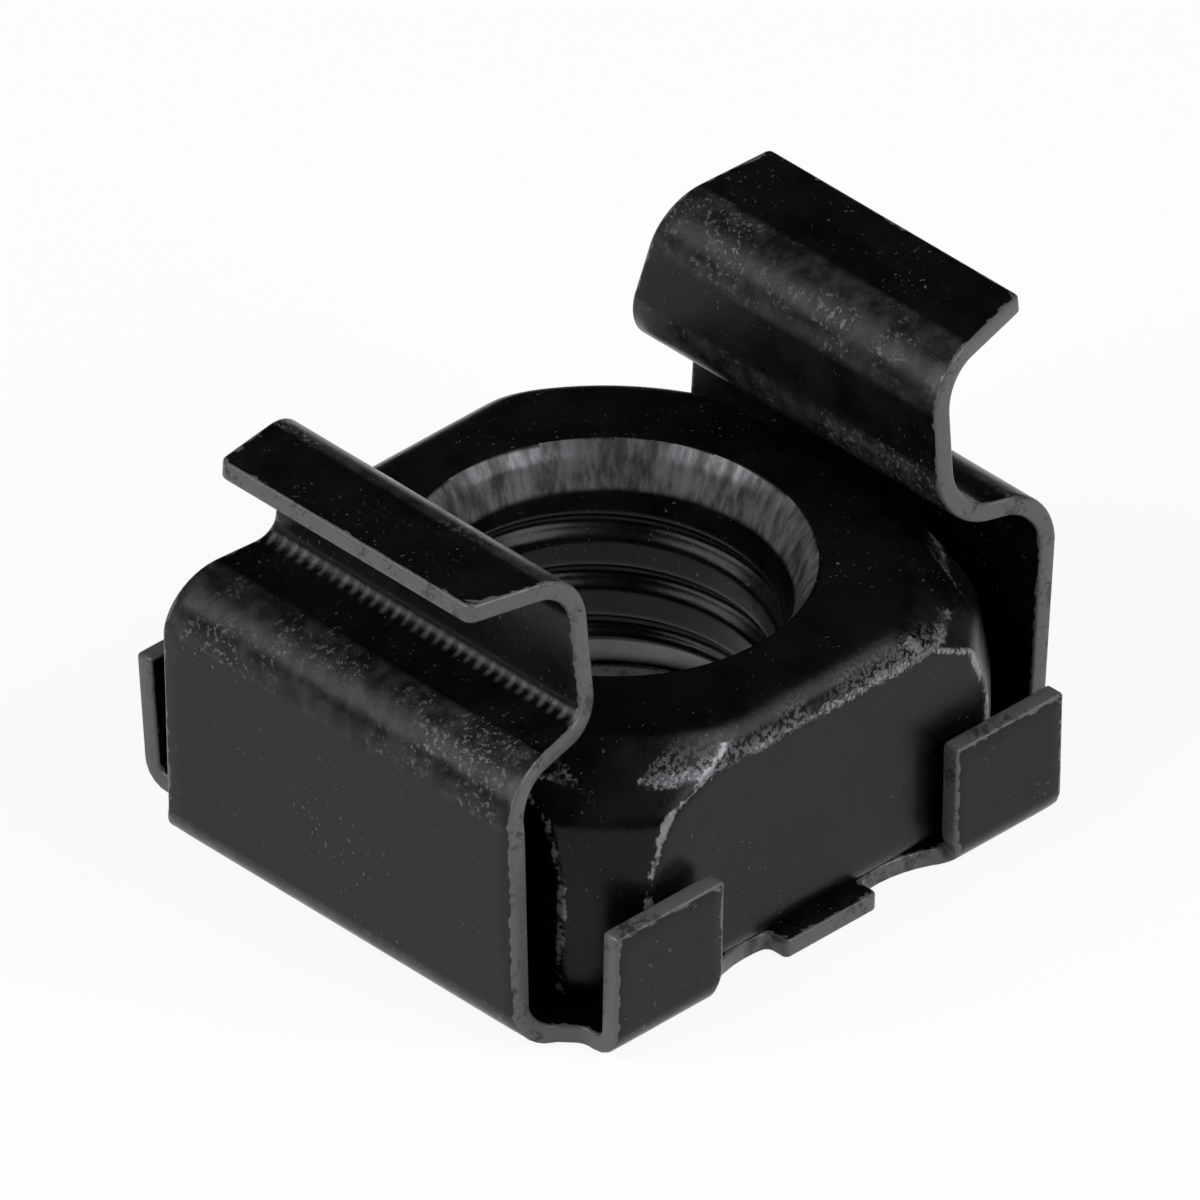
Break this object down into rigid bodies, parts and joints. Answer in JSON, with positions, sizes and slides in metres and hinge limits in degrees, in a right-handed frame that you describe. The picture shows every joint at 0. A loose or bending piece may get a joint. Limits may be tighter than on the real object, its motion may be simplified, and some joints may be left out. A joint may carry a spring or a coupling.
{
  "type": "cage nut",
  "caption": "Square threaded nut held loosely in a folded spring-steel cage whose sprung ears clip into a square rack-rail hole.",
  "frame": {"origin": "where the screw axis meets the underside of the cage floor", "axes": "+Z along the screw axis towards the panel, +X towards the long lever ear, -X towards the short hook ear"},
  "size_m": [0.0127, 0.0112, 0.0084],
  "materials": {
    "cage_steel": "black oxide on spring-steel sheet, satin, worn bright on the cut edges",
    "nut_steel": "black oxide on machined steel, semi-gloss, bright in the thread"
  },
  "bodies": {
    "root": {"spring_cage": "cage_steel", "square_nut": "nut_steel"}
  },
  "joints": []
}
